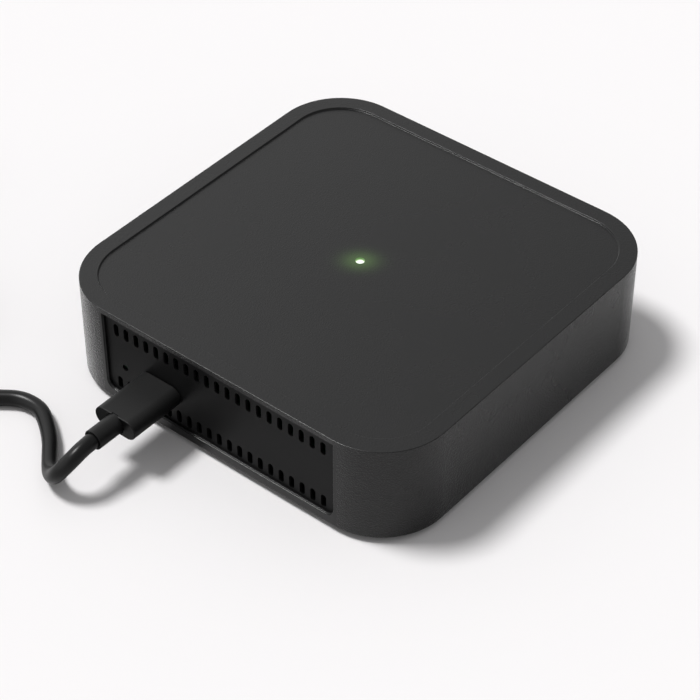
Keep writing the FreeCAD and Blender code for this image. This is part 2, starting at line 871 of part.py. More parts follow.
def coilEdges():
    # equal steps of about half a turn, each of two arcs
    edges = [Part.LineSegment(coilFrame()[0], coilPoint(0)).toShape()]
    steps = int(math.ceil(coilTurns * 2))
    turns = [coilTurns * index / steps for index in range(steps + 1)]
    for a, b in zip(turns, turns[1:]):
        edges += biarc(coilPoint(a), coilTangent(a), coilPoint(b), coilTangent(b))
    tailStart = coilPoint(coilTurns)
    edges.append(Part.LineSegment(tailStart, tailStart + coilTangent(coilTurns) * cordDiameter).toShape())
    return edges


def makeCordCoil():
    edges = coilEdges()
    print("least gap of the coil to itself %.2f" % leastCoilGap(edges))
    return cordTube(edges)


def leastCoilGap(edges):
    # between points of the path that lie half a turn or more apart along it
    arcs = edges[1:-1]
    points = [point for arc in arcs for point in arc.discretize(coilSamples)]
    apart = 2 * coilSamples
    least = bodySize
    for index, point in enumerate(points):
        for other in points[index + apart:]:
            least = min(least, point.distanceToPoint(other))
    return least - cordDiameter


def tailRoute():
    heading = coilTangent(coilTurns)
    start = coilPoint(coilTurns) + heading * cordDiameter
    aside = UP.cross(heading)
    return [start + heading * along + aside * side + UP * rise for along, side, rise in tailSteps]


def makeCordTail():
    edges, radii = roundedPath(tailRoute())
    print("tail bend radii in diameters", [round(radius / cordDiameter, 2) for radius in radii])
    return cordTube(edges)


def supplyPlace():
    # the supply plug carries on from the end of the tail, level
    before, end = tailRoute()[-2:]
    heading = Vector(end.x - before.x, end.y - before.y, 0).normalize()
    return end, heading


def placeOnTail(shape):
    # built along +Y at the origin, then turned and moved to the end of the tail
    end, heading = supplyPlace()
    turn = math.degrees(math.atan2(-heading.x, heading.y))
    shape.rotate(Vector(0, 0, 0), UP, turn)
    shape.translate(end)
    return shape


def makeSupplyRelief():
    narrow = cordRadius + supplyReliefLip
    return placeOnTail(Part.makeCone(narrow, supplyReliefRadius, supplyReliefLength, Vector(0, 0, 0), REAR))


def makeSupplyBody():
    body = Part.makeBox(
        supplyBodyWidth,
        supplyBodyLength,
        supplyBodyThickness,
        Vector(-supplyBodyWidth / 2, supplyReliefLength, -supplyBodyThickness / 2),
    )
    long = [e for e in body.Edges if e.BoundBox.YLength > 1]
    return placeOnTail(body.makeFillet(supplyBodyRound, long))


def supplyTube(width, height, fromY, toY, sheet):
    outer = Part.makeBox(width, toY - fromY, height, Vector(-width / 2, fromY, -height / 2))
    inner = Part.makeBox(
        width - 2 * sheet,
        toY - fromY,
        height - 2 * sheet,
        Vector(-width / 2 + sheet, fromY + sheet, -height / 2 + sheet),
    )
    return outer.cut(inner)


def makeSupplyShell():
    fromY = supplyReliefLength + supplyBodyLength
    return placeOnTail(
        supplyTube(supplyShellWidth, supplyShellHeight, fromY, fromY + supplyShellLength, supplyShellSheet)
    )


def makeSupplyTongue():
    fromY = supplyReliefLength + supplyBodyLength + supplyShellSheet
    top = supplyShellHeight / 2 - supplyShellSheet
    tongue = Part.makeBox(
        supplyTongueWidth,
        supplyShellLength - supplyShellSheet - supplyTongueSetback,
        supplyTongueThickness,
        Vector(-supplyTongueWidth / 2, fromY, top - supplyTongueThickness),
    )
    return placeOnTail(tongue)


def blocksOnBoard(size, places):
    return Part.makeCompound([blockOnBoard(size, at) for at in places])


os.makedirs("parts", exist_ok=True)

save("housing", makeHousing())
save("top_plate", makeTopPlate())
save("plate_adhesive", makePlateAdhesive())
save("light_pipe", makeLightPipe())
save("rear_panel", makeRearPanel())
save("base_cover", makeBaseCover())
save("rubber_feet", makeFeet())
save("threaded_inserts", makeInserts())
save("case_screws", makeCaseScrews())
save("main_board", makeBoard())
save("board_screws", makeBoardScrews())
save("status_led", blockOnBoard(ledSize, (0, 0)))
save("processor", blockOnBoard(processorSize, processorAt))
save("thermal_pad", makeThermalPad())
save("heat_sink", makeHeatSink())
save("memory_chips", blocksOnBoard(memorySize, memoryAt))
save("wifi_shield", makeShield(wifiShieldSize, wifiShieldAt))
save("mesh_shield", makeShield(meshShieldSize, meshShieldAt))
save("wifi_antenna", makeAntenna(wifiAntennaX, antennaY))
save("mesh_antenna", makeAntenna(meshAntennaX, antennaY))
save("crystals", blocksOnBoard(crystalSize, crystalAt))
save("power_inductors", blocksOnBoard(coilSize, coilAt))
save("chip_capacitors", makeChipCaps())
save("can_capacitors", makeTallCaps())
save("reset_switch", makeResetSwitch())
save("reset_plunger", makeResetPlunger())
save("usb_socket_shell", makeSocketShell())
save("usb_socket_pedestal", makeSocketPedestal())
save("usb_socket_tongue", makeSocketTongue())
save("usb_plug_shell", makePlugShell())
save("usb_plug_body", makePlugBody())
save("strain_relief", makeRelief())
save("power_cord", makeCord())
save("cord_coil", makeCordCoil())
save("cord_tail", makeCordTail())
save("supply_plug_relief", makeSupplyRelief())
save("supply_plug_body", makeSupplyBody())
save("supply_plug_shell", makeSupplyShell())
save("supply_plug_tongue", makeSupplyTongue())
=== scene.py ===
import math

import bmesh
import bpy
from mathutils import Matrix, Vector


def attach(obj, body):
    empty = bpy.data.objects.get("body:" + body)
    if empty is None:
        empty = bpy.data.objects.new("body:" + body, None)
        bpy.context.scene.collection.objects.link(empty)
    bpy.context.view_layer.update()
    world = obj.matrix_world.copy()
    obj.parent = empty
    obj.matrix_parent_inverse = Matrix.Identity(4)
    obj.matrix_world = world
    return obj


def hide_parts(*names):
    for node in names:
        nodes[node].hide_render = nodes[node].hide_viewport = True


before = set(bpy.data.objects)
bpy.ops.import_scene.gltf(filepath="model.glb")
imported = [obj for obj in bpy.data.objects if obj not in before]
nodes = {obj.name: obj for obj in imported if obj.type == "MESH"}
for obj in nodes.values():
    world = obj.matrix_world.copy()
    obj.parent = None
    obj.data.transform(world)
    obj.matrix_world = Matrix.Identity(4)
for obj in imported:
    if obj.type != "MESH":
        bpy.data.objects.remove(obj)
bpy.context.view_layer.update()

# Smart home bridge on a pale floor, with its power lead plugged in and put away in a coil.
# The rear panel faces +Y, the plain front -Y, and the light is in the middle of the top.

mm = 0.001


def addObject(name, data):
    made = bpy.data.objects.new(name, data)
    bpy.context.scene.collection.objects.link(made)
    return made


# Camera
cameraView = {
    "position": (-0.259767, 0.319658, 0.361171),
    "azimuth": 219.41873,
    "elevation": 41.29647,
    "roll": -0.03263,
    "lens": 119.905,
    "sensor": 36.0,
    "nearest": 0.01,
    "farthest": 20.0,
}


def aimCamera(view):
    # the camera's axes come from where it stands round the object, then its small roll
    azimuth = math.radians(view["azimuth"])
    elevation = math.radians(view["elevation"])
    roll = math.radians(view["roll"])
    back = Vector((
        math.sin(azimuth) * math.cos(elevation),
        -math.cos(azimuth) * math.cos(elevation),
        math.sin(elevation),
    ))
    level = Vector((math.cos(azimuth), math.sin(azimuth), 0))
    upright = back.cross(level)
    right = level * math.cos(roll) + upright * math.sin(roll)
    up = upright * math.cos(roll) - level * math.sin(roll)
    turned = Matrix((right, up, back)).transposed().to_4x4()
    data = bpy.data.cameras.new("camera")
    data.lens = view["lens"]
    data.sensor_width = view["sensor"]
    data.clip_start = view["nearest"]
    data.clip_end = view["farthest"]
    camera = addObject("camera", data)
    camera.matrix_world = Matrix.Translation(view["position"]) @ turned
    bpy.context.scene.camera = camera


aimCamera(cameraView)
bpy.context.scene.view_settings.view_transform = "Standard"
print("camera placed")


# Power lead: one spline from the plug's relief to the supply plug. Its length is in metres
# and all else in millimetres.
leadShape = {
    "thickness": 3.8,
    "length": 1.0,
    "roundSteps": 7,
    "stepsBetweenPoints": 8,
    "splineOrder": 3,
    "middleWeight": 0.75,
}
leadRoute = [
    (16.75, 70.25, 12.25),
    (16.75, 73.9, 12.25),
    (17.0, 77.5, 11.0),
    (18.9, 79.8, 7.8),
    (21.7, 79.4, 4.2),
    (25.0, 77.3, 2.4),
    (28.3, 74.0, 2.05),
    (32.3, 69.8, 2.0),
    (37.6, 65.9, 2.0),
    (41.8, 63.8, 2.0),
    (47.2, 64.2, 2.0),
    (51.6, 67.5, 2.0),
    (56.8, 71.6, 2.0),
    (61.8, 75.6, 3.1),
    (66.2, 79.9, 5.7),
    (69.9, 83.2, 6.43),
    (73.3, 86.4, 6.43),
]
coilShape = {
    "turns": 7.365,
    "middleRadius": 19.6,
    "pitch": 4.45,
    "floorGap": 0.08,
    "turnsToDrop": 0.5,
    "pointsPerTurn": 16,
    "drawIn": 0.2,
}
# from the coil's end on: how far along, how far in towards the coil, and how high
tailSteps = [
    (4.6, 0.0, 0.0),
    (9.2, -0.4, 0.25),
    (13.6, -0.1, 1.1),
    (17.6, 0.4, 1.85),
    (21.0, 0.7, 1.85),
]


def coilRadius(turn):
    # in to the middle of the winding and out again
    turns = coilShape["turns"]
    fromMiddle = abs(turn - turns / 2)
    return coilShape["middleRadius"] + coilShape["pitch"] * (fromMiddle - turns / 4)


def coilLevel(turn):
    # the upper layer first, then down to the floor in the half turn at the middle
    dropped = (turn - coilShape["turns"] / 2) / coilShape["turnsToDrop"] + 0.5
    dropped = min(max(dropped, 0.0), 1.0)
    floorLevel = leadShape["thickness"] / 2 + coilShape["floorGap"]
    return floorLevel + coilShape["pitch"] * (1 + math.cos(math.pi * dropped)) / 2


def leadPoints():
    turns = coilShape["turns"]
    routeEnd = Vector(leadRoute[-1])
    heading = (routeEnd - Vector(leadRoute[-2])).normalized()
    aside = heading.cross(Vector((0, 0, 1)))
    centre = routeEnd + heading * leadShape["thickness"] + aside * coilRadius(0)
    startAngle = math.atan2(-aside.y, -aside.x)
    # the spline runs inside a ring's points, so the ring is drawn this much wider, less a
    # little that keeps it in the CAD box
    weight = leadShape["middleWeight"]
    widen = 1 / (weight + (1 - weight) * math.cos(2 * math.pi / coilShape["pointsPerTurn"]))
    points = [Vector(point) for point in leadRoute]
    count = int(turns * coilShape["pointsPerTurn"])
    for index in range(count + 1):
        turn = turns * index / count
        angle = startAngle - 2 * math.pi * turn
        radius = coilRadius(turn) * widen - coilShape["drawIn"]
        spot = Vector((math.cos(angle) * radius, math.sin(angle) * radius, 0))
        points.append(Vector((centre.x, centre.y, coilLevel(turn))) + spot)
    lastAngle = startAngle - 2 * math.pi * turns
    outward = Vector((math.cos(lastAngle), math.sin(lastAngle), 0))
    heading = Vector((math.sin(lastAngle), -math.cos(lastAngle), 0))
    inward = Vector((0, 0, 1)).cross(heading)
    coilEnd = Vector((centre.x, centre.y, coilLevel(turns))) + outward * coilRadius(turns)
    start = coilEnd + heading * leadShape["thickness"]
    points.append(start)
    for along, side, rise in tailSteps:
        points.append(start + heading * along + inward * side + Vector((0, 0, rise)))
    return points


def makeLead():
    data = bpy.data.curves.new("lead", "CURVE")
    data.dimensions = "3D"
    data.bevel_depth = 1.0  # times each point's radius
    data.bevel_resolution = leadShape["roundSteps"]
    data.resolution_u = leadShape["stepsBetweenPoints"]
    data.use_fill_caps = True
    spline = data.splines.new("NURBS")
    points = leadPoints()
    spline.points.add(len(points) - 1)
    for knot, point in zip(spline.points, points):
        knot.co = (point.x * mm, point.y * mm, point.z * mm, 1)
        knot.radius = leadShape["thickness"] * mm / 2
    spline.order_u = leadShape["splineOrder"]
    spline.use_endpoint_u = True
    return addObject("lead", data)


lead = makeLead()
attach(lead, "power_lead")
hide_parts("power_cord", "cord_coil", "cord_tail")
print("lead laid")


# Trims: a slim bead against the pocket's wall and a stepped liner in the rear window.
# A profile's points are how far in from the wall, and how high or how far to the rear, in
# millimetres. Its visible edges are the smooth ones. From its shell edge on they have the
# shell's finish, and all other faces have the panel's. The liner's face next to the panel,
# with the panel's dark, dull finish over the window's inner faces, is painted shade.
beadShape = {
    "halfWidth": 45.74,
    "cornerRadius": 12.54,
    "cornerSteps": 24,
    "shellEdge": 0,
    "visibleEdges": 8,
    "profile": [
        (0.0, 26.405),
        (0.18, 26.405),
        (0.17, 26.47),
        (0.13, 26.5),
        (0.07, 26.515),
        (0.05, 26.56),
        (0.02, 26.7),
        (-0.01, 26.77),
        (-0.05, 26.825),
        (-0.1, 26.848),
        (-0.1, 26.7),
        (0.0, 26.68),
    ],
}
linerShape = {
    "halfWidth": 33.3,
    "bottom": 3.85,
    "top": 25.5,
    "cornerRadius": 2.4,
    "cornerSteps": 10,
    "shellEdge": 2,
    "visibleEdges": 9,
    "profile": [
        (0.0, 49.12),
        (0.1, 49.12),
        (0.1, 49.52),
        (0.08, 49.58),
        (0.03, 49.63),
        (-0.06, 49.72),
        (-0.11, 49.76),
        (-0.115, 49.84),
        (-0.13, 49.89),
        (-0.17, 49.925),
        (-0.18, 49.925),
        (-0.18, 49.7),
        (-0.07, 49.7),
        (0.0, 49.63),
    ],
}


def beadRings(shape):
    # once round the pocket, from corner to corner
    straight = shape["halfWidth"] - shape["cornerRadius"]
    rings = []
    for corner, (sideX, sideY) in enumerate(((1, 1), (-1, 1), (-1, -1), (1, -1))):
        for step in range(shape["cornerSteps"] + 1):
            angle = math.pi / 2 * (corner + step / shape["cornerSteps"])
            ring = []
            for inset, height in shape["profile"]:
                radius = shape["cornerRadius"] - inset
                x = sideX * straight + math.cos(angle) * radius
                y = sideY * straight + math.sin(angle) * radius
                ring.append((x * mm, y * mm, height * mm))
            rings.append(ring)
    return rings


def linerRings(shape):
    # down one side of the window, along its bottom and up the other side
    centreX = shape["halfWidth"] - shape["cornerRadius"]
    centreZ = shape["bottom"] + shape["cornerRadius"]
    stations = [(shape["halfWidth"], shape["top"], 1, 0, 0)]
    for corner, side in enumerate((1, -1)):
        for step in range(shape["cornerSteps"] + 1):
            angle = -math.pi / 2 * (corner + step / shape["cornerSteps"])
            stations.append((side * centreX, centreZ, math.cos(angle), math.sin(angle), 1))
    stations.append((-shape["halfWidth"], shape["top"], -1, 0, 0))
    rings = []
    for x, z, outX, outZ, rounded in stations:
        ring = []
        for inset, depth in shape["profile"]:
            out = rounded * shape["cornerRadius"] - inset
            ring.append(((x + outX * out) * mm, depth * mm, (z + outZ * out) * mm))
        rings.append(ring)
    return rings


def makeTrim(name, shape, rings, closed):
    mesh = bmesh.new()
    rows = [[mesh.verts.new(spot) for spot in ring] for ring in rings]
    size = len(shape["profile"])
    for index in range(len(rows) if closed else len(rows) - 1):
        row, following = rows[index], rows[(index + 1) % len(rows)]
        for place in range(size):
            beside = (place + 1) % size
            corners = (row[place], row[beside], following[beside], following[place])
            face = mesh.faces.new(corners)
            face.smooth = 1 <= place <= shape["visibleEdges"]
            face.material_index = int(place < shape["shellEdge"] or not face.smooth)
    if not closed:
        mesh.faces.new(rows[0])
        mesh.faces.new(rows[-1])
    bmesh.ops.recalc_face_normals(mesh, faces=mesh.faces)
    for edge in mesh.edges:
        edge.smooth = all(face.smooth for face in edge.link_faces)
    data = bpy.data.meshes.new(name)
    mesh.to_mesh(data)
    mesh.free()
    return addObject(name, data)


bead = makeTrim("pocket_bead", beadShape, beadRings(beadShape), True)
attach(bead, "hub")
# painted shade: the liner darkens the window's inner faces with the panel's finish
liner = makeTrim("window_liner", linerShape, linerRings(linerShape), False)
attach(liner, "hub")
print("trims made")


# Node helpers. A value is a number, a colour or another node's output.
def linkSockets(tree, *pairs):
    for source, target in pairs:
        tree.links.new(source, target)


def setOrLink(tree, target, value):
    if isinstance(value, (int, float)):
        target.default_value = value
    elif isinstance(value, tuple):
        target.default_value = (*value, 1)
    else:
        tree.links.new(value, target)


def mixBetween(tree, factor, first, second, kind="FLOAT"):
    mix = tree.nodes.new("ShaderNodeMix")
    mix.data_type = kind
    for label, value in (("Factor", factor), ("A", first), ("B", second)):
        setOrLink(tree, mix.inputs[label], value)
    return mix.outputs["Result"]


def mixTones(tree, factor, first, second):
    return mixBetween(tree, factor, first, second, "RGBA")


def mathNode(tree, operation, first, second=None, clamp=False):
    node = tree.nodes.new("ShaderNodeMath")
    node.operation = operation
    node.use_clamp = clamp
    setOrLink(tree, node.inputs[0], first)
    if second is not None:
        setOrLink(tree, node.inputs[1], second)
    return node.outputs[0]


def product(tree, first, *others):
    for other in others:
        first = mathNode(tree, "MULTIPLY", first, other)
    return first


def sumOfSquares(tree, first, second):
    return mathNode(tree, "ADD", product(tree, first, first), product(tree, second, second))


def oneMinus(tree, value, clamp=False):
    return mathNode(tree, "SUBTRACT", 1.0, value, clamp)


def rangeBetween(tree, value, span, within=(0.0, 1.0)):
    # what runs within one span comes out in the other
    spread = tree.nodes.new("ShaderNodeMapRange")
    spread.inputs["From Min"].default_value, spread.inputs["From Max"].default_value = within
    spread.inputs["To Min"].default_value, spread.inputs["To Max"].default_value = span
    tree.links.new(value, spread.inputs["Value"])
    return spread.outputs["Result"]


def objectPlace(tree):
    return tree.nodes.new("ShaderNodeTexCoord").outputs["Object"]


def partsOf(tree, vector):
    split = tree.nodes.new("ShaderNodeSeparateXYZ")
    tree.links.new(vector, split.inputs[0])
    return split.outputs


# Floor, lamp and surroundings
studio = {
    "floorColour": (0.886, 0.871, 0.879),
    "floorInGloss": (0.7, 0.692, 0.696),
    "floorSize": 8.0,
    "floorDrop": 0.00003,
    "lampTowards": (0.393, 0.177, 0.893),
    "lampStrength": 2.48,
    "lampAngle": 16.0,
    "lampColour": (1.0, 0.998, 0.994),
    "skyStrength": 0.395,
    "skyShown": 1.0,
    "glowTowards": (0.9, 0.43, 0.0),
    "glowSpan": (-0.07, 0.6),
    "glowStrength": (0.45, 1.36),
}


def makeFloor():
    mesh = bpy.data.meshes.new("floor")
    half = studio["floorSize"] / 2
    drop = -studio["floorDrop"]
    sides = ((-1, -1), (1, -1), (1, 1), (-1, 1))
    mesh.from_pydata([(x * half, y * half, drop) for x, y in sides], [], [(0, 1, 2, 3)])
    floor = addObject("floor", mesh)
    paint = bpy.data.materials.new("floorPaper")
    paint.use_nodes = True
    tree = paint.node_tree
    shader = tree.nodes["Principled BSDF"]
    # the object's lower faces see a darker floor than the camera does
    path = tree.nodes.new("ShaderNodeLightPath").outputs
    seen, lighting = studio["floorColour"], studio["floorInGloss"]
    tone = mixTones(tree, path["Is Camera Ray"], lighting, seen)
    tree.links.new(tone, shader.inputs["Base Color"])
    shader.inputs["Roughness"].default_value = 1.0
    shader.inputs["Specular IOR Level"].default_value = 0.0
    mesh.materials.append(paint)


def makeLamp():
    data = bpy.data.lights.new("lamp", "SUN")
    data.energy = studio["lampStrength"]
    data.angle = math.radians(studio["lampAngle"])
    data.color = studio["lampColour"]
    lamp = addObject("lamp", data)
    lamp.rotation_mode = "QUATERNION"
    lamp.rotation_quaternion = Vector(studio["lampTowards"]).to_track_quat("Z", "Y")


def makeSky():
    # a soft even light that gloss sees brighter towards the lamp, and the camera and clear
    # plastic see white
    world = bpy.data.worlds.new("sky")
    world.use_nodes = True
    bpy.context.scene.world = world
    tree = world.node_tree
    tree.nodes.clear()
    path = tree.nodes.new("ShaderNodeLightPath").outputs
    heading = tree.nodes.new("ShaderNodeTexCoord").outputs["Generated"]
    towards = tree.nodes.new("ShaderNodeVectorMath")
    towards.operation = "DOT_PRODUCT"
    towards.inputs[1].default_value = studio["glowTowards"]
    tree.links.new(heading, towards.inputs[0])
    glow = rangeBetween(
        tree, towards.outputs["Value"], studio["glowStrength"], studio["glowSpan"]
    )
    lighting = mixBetween(tree, path["Is Glossy Ray"], studio["skyStrength"], glow)
    shown = mathNode(tree, "MAXIMUM", path["Is Camera Ray"], path["Is Transmission Ray"])
    backdrop = tree.nodes.new("ShaderNodeBackground")
    backdrop.inputs["Color"].default_value = (1, 1, 1, 1)
    output = tree.nodes.new("ShaderNodeOutputWorld")
    linkSockets(
        tree,
        (mixBetween(tree, shown, lighting, studio["skyShown"]), backdrop.inputs["Strength"]),
        (backdrop.outputs["Background"], output.inputs["Surface"]),
    )


makeFloor()
makeLamp()
makeSky()
print("floor, lamp and sky ready")


# Shared effects, each a group that gives only heights, masks, lines or distances
grainShape = {"smoothness": 0.7, "fineScale": 2.3, "fineDetail": 2.0}
marksShape = {"detail": 4.0, "rough": 0.6}
linesShape = {"stretch": 0.97, "detail": 3.0}
copperShape = {"bands": 7.0, "bandFold": 0.5, "viaScale": 2.6, "viaSize": 0.12}


def newGroup(name, inputs, outputs):
    # an input is its label, its value and its least and greatest value
    group = bpy.data.node_groups.new(name, "ShaderNodeTree")
    for label, value, low, high in inputs:
        socket = group.interface.new_socket(
            label, in_out="INPUT", socket_type="NodeSocketFloat"
        )
        socket.default_value = value
        socket.min_value = low
        socket.max_value = high
    for label in outputs:
        group.interface.new_socket(label, in_out="OUTPUT", socket_type="NodeSocketFloat")
    given = group.nodes.new("NodeGroupInput").outputs
    result = group.nodes.new("NodeGroupOutput").inputs
    return group, given, result


def scaledPlace(tree, factor):
    # the place on the object in metres, multiplied by one number
    scale = tree.nodes.new("ShaderNodeVectorMath")
    scale.operation = "SCALE"
    linkSockets(tree, (objectPlace(tree), scale.inputs[0]), (factor, scale.inputs["Scale"]))
    return scale.outputs[0]


def noiseAt(tree, vector, scale, detail, rough=0.5):
    noise = tree.nodes.new("ShaderNodeTexNoise")
    noise.inputs["Scale"].default_value = scale
    noise.inputs["Detail"].default_value = detail
    noise.inputs["Roughness"].default_value = rough
    tree.links.new(vector, noise.inputs["Vector"])
    return noise.outputs["Fac"]


def cellsAt(tree, vector, scale):
    cells = tree.nodes.new("ShaderNodeTexVoronoi")
    cells.inputs["Scale"].default_value = scale
    tree.links.new(vector, cells.inputs["Vector"])
    return cells


def makeGrainGroup():
    # fine moulded grain: soft cells with a finer roughness over them
    group, given, result = newGroup(
        "mouldedGrain",
        [("Cells per metre", 2200, 10, 20000), ("Fineness", 0.4, 0, 1)],
        ["Height"],
    )
    place = scaledPlace(group, given["Cells per metre"])
    cells = cellsAt(group, place, 1.0)
    cells.feature = "SMOOTH_F1"
    cells.inputs["Smoothness"].default_value = grainShape["smoothness"]
    fine = noiseAt(group, place, grainShape["fineScale"], grainShape["fineDetail"])
    height = mixBetween(group, given["Fineness"], cells.outputs["Distance"], fine)
    group.links.new(height, result["Height"])
    return group


def makeHandlingGroup():
    # faint cloudy marks of handling
    group, given, result = newGroup(
        "handlingMarks", [("Clouds per metre", 30, 1, 500)], ["Clouds"]
    )
    place = scaledPlace(group, given["Clouds per metre"])
    clouds = noiseAt(group, place, 1.0, marksShape["detail"], marksShape["rough"])
    group.links.new(clouds, result["Clouds"])
    return group


def makeBrushGroup():
    # drawn or rolled metal: long fine lines along X or Y, as stretched noise
    group, given, result = newGroup(
        "drawnLines",
        [("Along X", 1, 0, 1), ("Along Y", 0, 0, 1), ("Lines per metre", 9000, 100, 60000)],
        ["Lines"],
    )
    place = partsOf(group, scaledPlace(group, given["Lines per metre"]))
    stretched = group.nodes.new("ShaderNodeCombineXYZ")
    for axis in "XY":
        pull = product(group, given["Along " + axis], linesShape["stretch"])
        drawn = product(group, place[axis], oneMinus(group, pull))
        group.links.new(drawn, stretched.inputs[axis])
    group.links.new(place["Z"], stretched.inputs["Z"])
    lines = noiseAt(group, stretched.outputs[0], 1.0, linesShape["detail"])
    group.links.new(lines, result["Lines"])
    return group


def makeGlowGroup():
    # light that spills from the hole on to the face round it, as an oval patch that halves
    # where its half width and half depth are reached
    group, given, result = newGroup(
        "lightSpill",
        [
            ("Half width", 0.003, 0.0001, 0.1),
            ("Half depth", 0.0023, 0.0001, 0.1),
            ("Turn", 0.0, -4, 4),
        ],
        ["Spill", "Radius"],
    )
    turned = group.nodes.new("ShaderNodeVectorRotate")
    turned.rotation_type = "Z_AXIS"
    linkSockets(
        group,
        (objectPlace(group), turned.inputs["Vector"]),
        (given["Turn"], turned.inputs["Angle"]),
    )
    place = partsOf(group, turned.outputs["Vector"])
    wide = mathNode(group, "DIVIDE", place["X"], given["Half width"])
    deep = mathNode(group, "DIVIDE", place["Y"], given["Half depth"])
    falling = product(group, sumOfSquares(group, wide, deep), -1.0)
    spill = mathNode(group, "POWER", 2.0, falling)
    radius = mathNode(group, "SQRT", sumOfSquares(group, place["X"], place["Y"]))
    linkSockets(group, (spill, result["Spill"]), (radius, result["Radius"]))
    return group


def makeTraceGroup():
    # copper under the solder mask: tracks as nested squares in cells, and dots for vias
    group, given, result = newGroup(
        "copperTracks",
        [("Cells per metre", 160, 10, 2000), ("Track share", 0.12, 0, 1)],
        ["Tracks", "Vias"],
    )
    place = scaledPlace(group, given["Cells per metre"])
    squares = cellsAt(group, place, 1.0)
    squares.distance = "CHEBYCHEV"
    banded = product(group, squares.outputs["Distance"], copperShape["bands"])
    folded = mathNode(group, "PINGPONG", banded, copperShape["bandFold"])
    tracks = mathNode(group, "LESS_THAN", folded, given["Track share"])
    dots = cellsAt(group, place, copperShape["viaScale"])
    vias = mathNode(group, "LESS_THAN", dots.outputs["Distance"], copperShape["viaSize"])
    linkSockets(group, (tracks, result["Tracks"]), (vias, result["Vias"]))
    return group


grainGroup = makeGrainGroup()
handlingGroup = makeHandlingGroup()
brushGroup = makeBrushGroup()
glowGroup = makeGlowGroup()
traceGroup = makeTraceGroup()
print("shared effects built")


# Finishes. A spread is how far a value goes below and above its own, and a look that
# doesn't name a value has the one of its kind. All lengths are in metres.
anyLook = {"metal": 0.0, "gloss": 0.5, "sheen": 0.0, "sheenRough": 0.3}
plasticLook = {
    "fine": 0.4,
    "clouds": 30,
    "cloudRange": (0.25, 0.75),
    "toneSpread": (0.12, 0.12),
    "roughSpread": (0.05, 0.05),
    "levelGrain": 0.5,
    "edgePolish": 1.0,
    "slantGain": 4.0,  # a slant is a quarter at most
}
metalLook = {
    "metal": 1.0,
    "alongX": 1.0,
    "alongY": 0.0,
    "lines": 9000,
    "lineRange": (0.3, 0.7),
    "clouds": 90,
    "toneSpread": (0.15, 0.12),
    "roughSpread": (0.08, 0.1),
}


def newFinish(name, look):
    look = {**anyLook, **look}
    paint = bpy.data.materials.new(name)
    paint.use_nodes = True
    shader = paint.node_tree.nodes["Principled BSDF"]
    shader.inputs["Base Color"].default_value = (*look["colour"], 1)
    shader.inputs["Roughness"].default_value = look["rough"]
    shader.inputs["Metallic"].default_value = look["metal"]
    shader.inputs["Specular IOR Level"].default_value = look["gloss"]
    shader.inputs["Sheen Weight"].default_value = look["sheen"]
    shader.inputs["Sheen Roughness"].default_value = look["sheenRough"]
    return paint, paint.node_tree, shader


def groupNode(tree, group, values):
    node = tree.nodes.new("ShaderNodeGroup")
    node.node_tree = group
    for label, value in values.items():
        node.inputs[label].default_value = value
    return node.outputs


def cloudsFor(tree, look):
    return groupNode(tree, handlingGroup, {"Clouds per metre": look["clouds"]})["Clouds"]


def around(middle, spread):
    below, above = spread
    return middle - below, middle + above


def spreadTone(tree, factor, look):
    # the look's colour from a little darker to a little lighter
    dark, light = (
        tuple(min(channel * shade, 1.0) for channel in look["colour"])
        for shade in around(1, look["toneSpread"])
    )
    return mixTones(tree, factor, dark, light)


def spreadRough(tree, factor, look, within=(0.0, 1.0)):
    return rangeBetween(tree, factor, around(look["rough"], look["roughSpread"]), within)


def bumpFrom(tree, shader, height, depth, share=1.0):
    bump = tree.nodes.new("ShaderNodeBump")
    bump.inputs["Distance"].default_value = depth
    setOrLink(tree, bump.inputs["Strength"], share)
    linkSockets(
        tree,
        (height, bump.inputs["Height"]),
        (bump.outputs["Normal"], shader.inputs["Normal"]),
    )


def outsideRecess(tree, recess):
    # 0 on the window's inner faces and sill, which the tool leaves smooth, and 1 elsewhere
    place = partsOf(tree, objectPlace(tree))
    aside = mathNode(tree, "ABSOLUTE", place["X"])
    between = mathNode(tree, "LESS_THAN", aside, recess["halfWidth"])
    below = mathNode(tree, "LESS_THAN", place["Z"], recess["top"])
    behind = mathNode(tree, "LESS_THAN", place["Y"], recess["outer"])
    before = mathNode(tree, "GREATER_THAN", place["Y"], recess["inner"])
    return oneMinus(tree, product(tree, between, below, behind, before))


def mouldedPlastic(name, look):
    look = {**plasticLook, **look}
    paint, tree, shader = newFinish(name, look)
    grain = groupNode(
        tree, grainGroup, {"Cells per metre": look["grain"], "Fineness": look["fine"]}
    )
    clouds = cloudsFor(tree, look)
    marks = rangeBetween(tree, clouds, (0.0, 1.0), look["cloudRange"])
    tone = spreadTone(tree, marks, look)
    normal = partsOf(tree, tree.nodes.new("ShaderNodeNewGeometry").outputs["Normal"])
    if "dustAndTopLight" in look:
        # faces that look up are lighter: partly a film of dust, partly painted light on the
        # tops
        upward = mathNode(tree, "MAXIMUM", normal["Z"], 0.0)
        tone = mixTones(tree, upward, tone, look["dustAndTopLight"])
    # the grain is shallower on level faces, and gone where an edge turns from wall to top
    level = mathNode(tree, "ABSOLUTE", normal["Z"])
    levelSquare = product(tree, level, level)
    slant = product(tree, levelSquare, oneMinus(tree, levelSquare), look["slantGain"])
    kept = oneMinus(tree, slant, clamp=True)
    share = product(tree, rangeBetween(tree, level, (1.0, look["levelGrain"])), kept)
    if "smoothRecess" in look:
        share = product(tree, share, outsideRecess(tree, look["smoothRecess"]))
    # where it is gone, the edge has a polish of its own
    polish = rangeBetween(tree, kept, (look["edgePolish"], 1.0))
    rough = product(tree, spreadRough(tree, clouds, look, look["cloudRange"]), polish)
    linkSockets(
        tree, (tone, shader.inputs["Base Color"]), (rough, shader.inputs["Roughness"])
    )
    bumpFrom(tree, shader, grain["Height"], look["depth"], share)
    return paint


